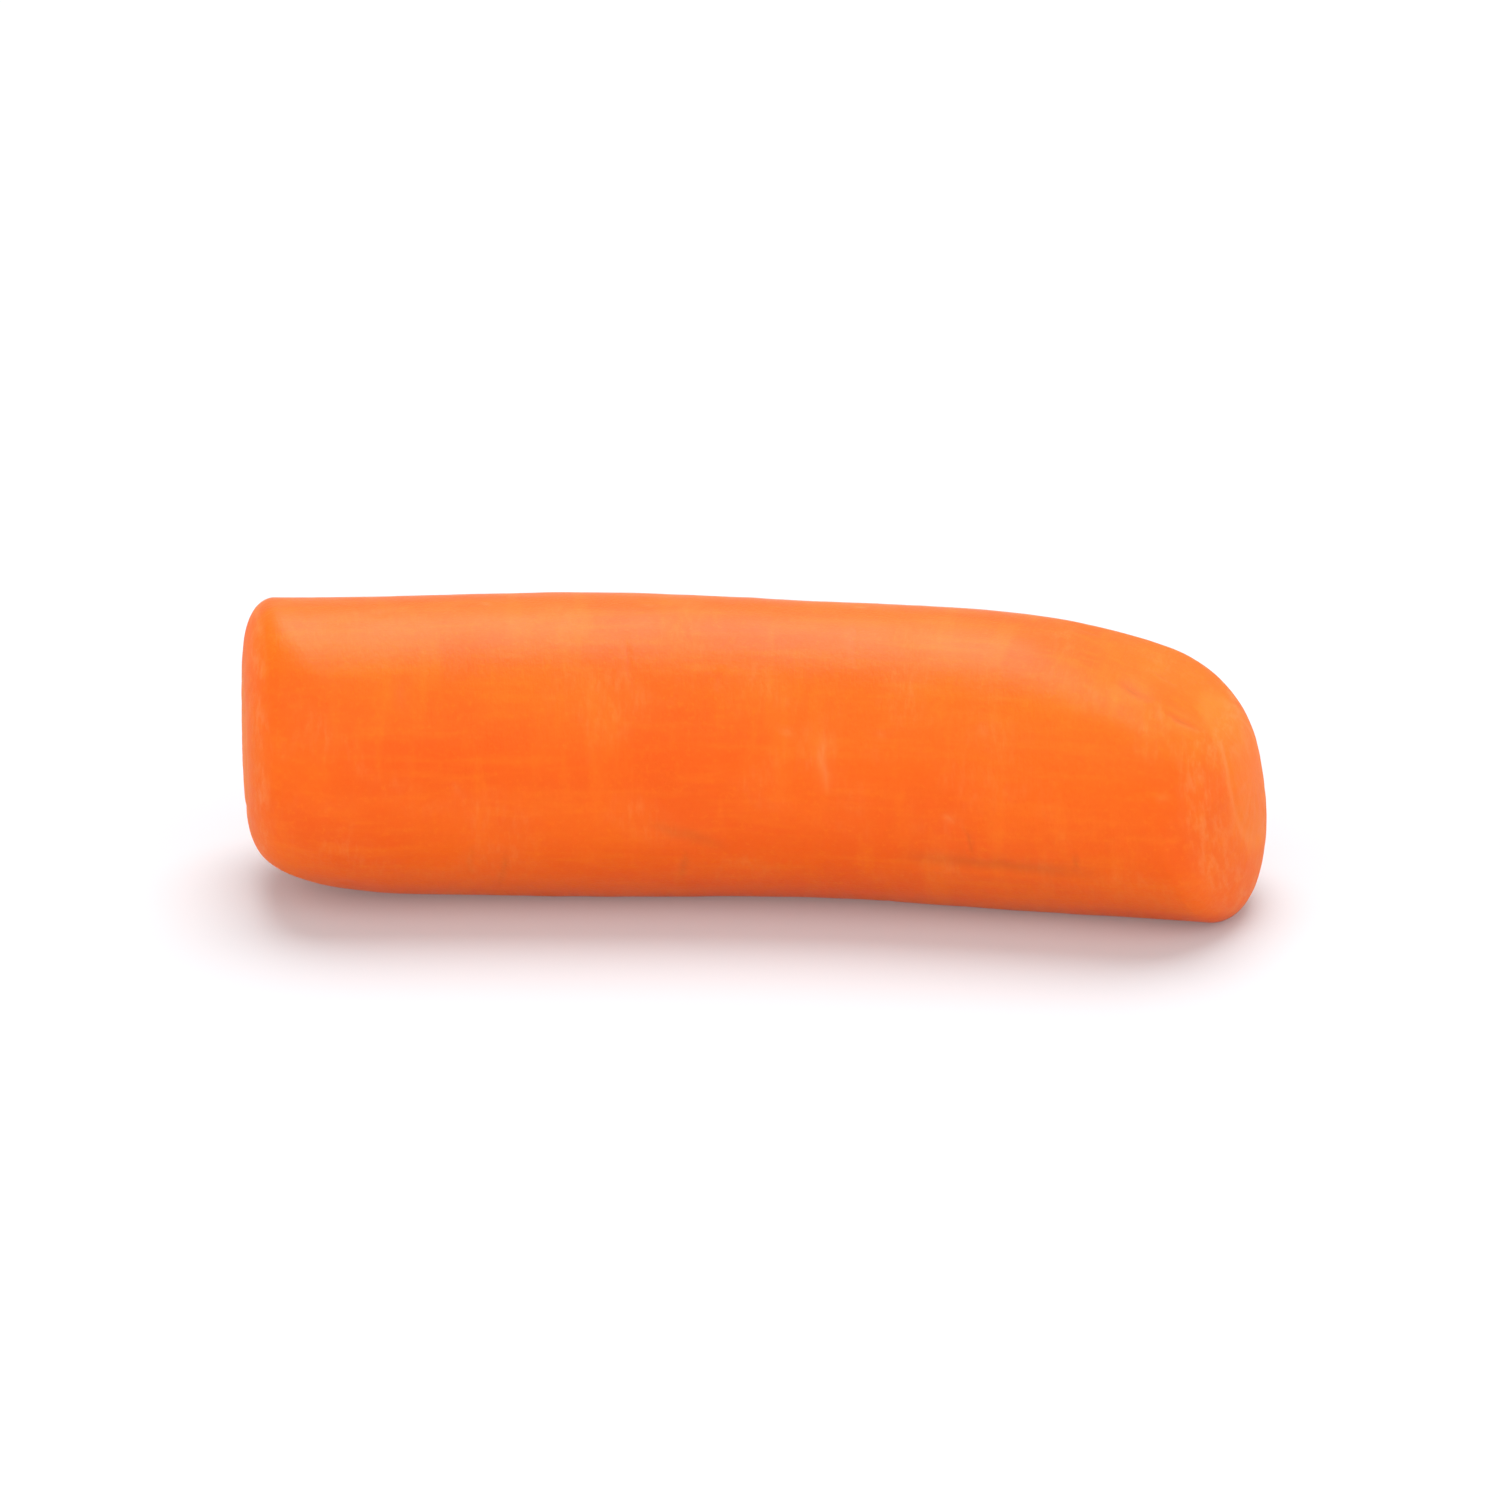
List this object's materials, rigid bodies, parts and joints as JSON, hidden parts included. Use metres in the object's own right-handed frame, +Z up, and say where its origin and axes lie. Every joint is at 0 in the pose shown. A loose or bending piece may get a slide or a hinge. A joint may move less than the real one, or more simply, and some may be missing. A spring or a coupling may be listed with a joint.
{
  "type": "baby carrot",
  "caption": "Peeled baby-cut carrot: a short, slightly curved orange root with worn, rounded ends, lying on its side on a shallow flat.",
  "frame": {"origin": "bottom centre of the carrot's box, in the plane of the flat it rests on", "axes": "+X along the carrot's length, towards the end with the slanting worn top; +Z up; -Y is the inner side of its curve, the front"},
  "size_m": [0.0552, 0.0176, 0.0159],
  "materials": {
    "carrot_flesh": "satin"
  },
  "bodies": {
    "root": {"baby_carrot": "carrot_flesh"}
  },
  "joints": []
}
